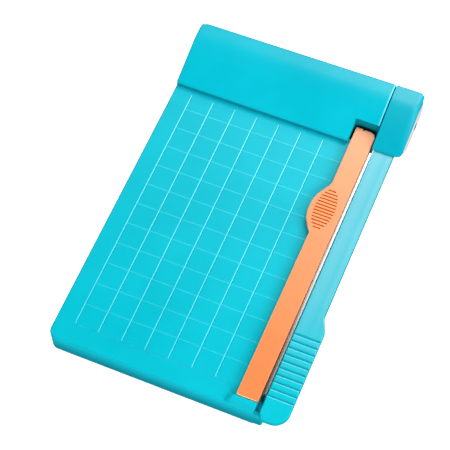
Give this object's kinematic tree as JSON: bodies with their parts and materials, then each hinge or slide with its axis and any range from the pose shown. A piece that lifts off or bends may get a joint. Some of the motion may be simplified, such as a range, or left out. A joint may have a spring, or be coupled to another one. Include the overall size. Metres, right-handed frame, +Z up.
{
  "type": "paper trimmer",
  "caption": "Small desktop paper trimmer: gridded table, domed header, hinged cutting arm with ribbed handle, press bar with thumb pad and two steel blades.",
  "frame": {"origin": "middle of the footprint, on the surface the trimmer stands on", "axes": "+Y towards the header at the back, +X towards the cutting arm, +Z up from the table"},
  "size_m": [0.1292, 0.204, 0.0258],
  "materials": {
    "teal_plastic": "satin moulded",
    "orange_plastic": "fine matte",
    "white_plastic": "satin moulded",
    "steel": "ground",
    "black_steel": "blackened",
    "brass": "turned",
    "rubber": "matte"
  },
  "bodies": {
    "casing": {"base_shell": "teal_plastic", "header_cover": "teal_plastic", "bottom_cover": "teal_plastic", "rubber_foot_1": "rubber", "rubber_foot_2": "rubber", "rubber_foot_3": "rubber", "rubber_foot_4": "rubber", "fixed_blade": "steel", "press_bar_pin": "steel", "pivot_bolt": "black_steel", "pivot_bush": "brass", "pivot_washer": "steel", "pivot_nut": "steel", "pivot_spring": "steel", "bottom_screw_1": "black_steel", "bottom_screw_2": "black_steel", "bottom_screw_3": "black_steel", "bottom_screw_4": "black_steel", "bottom_screw_5": "black_steel", "bottom_screw_6": "black_steel", "header_screw_1": "black_steel", "header_screw_2": "black_steel", "header_screw_3": "black_steel", "fixed_blade_screw_1": "black_steel", "fixed_blade_screw_2": "black_steel", "fixed_blade_screw_3": "black_steel", "fixed_blade_screw_4": "black_steel"},
    "arm": {"arm_lever": "teal_plastic", "hub_cover": "teal_plastic", "side_cap": "white_plastic", "moving_blade": "steel", "moving_blade_screw_1": "black_steel", "moving_blade_screw_2": "black_steel", "moving_blade_screw_3": "black_steel", "hub_cover_screw_1": "black_steel", "hub_cover_screw_2": "black_steel"},
    "press_bar": {"press_bar": "orange_plastic"}
  },
  "joints": [
    {"name": "arm_hinge", "type": "hinge", "parent": "casing", "child": "arm", "pos_m": [0.056, 0.088, 0.012], "axis": [-1, 0, 0], "range_deg": [0, 55]},
    {"name": "press_bar_hinge", "type": "hinge", "parent": "casing", "child": "press_bar", "pos_m": [0.041, 0.07, 0.0116], "axis": [-1, 0, 0], "range_deg": [0, 25]}
  ]
}
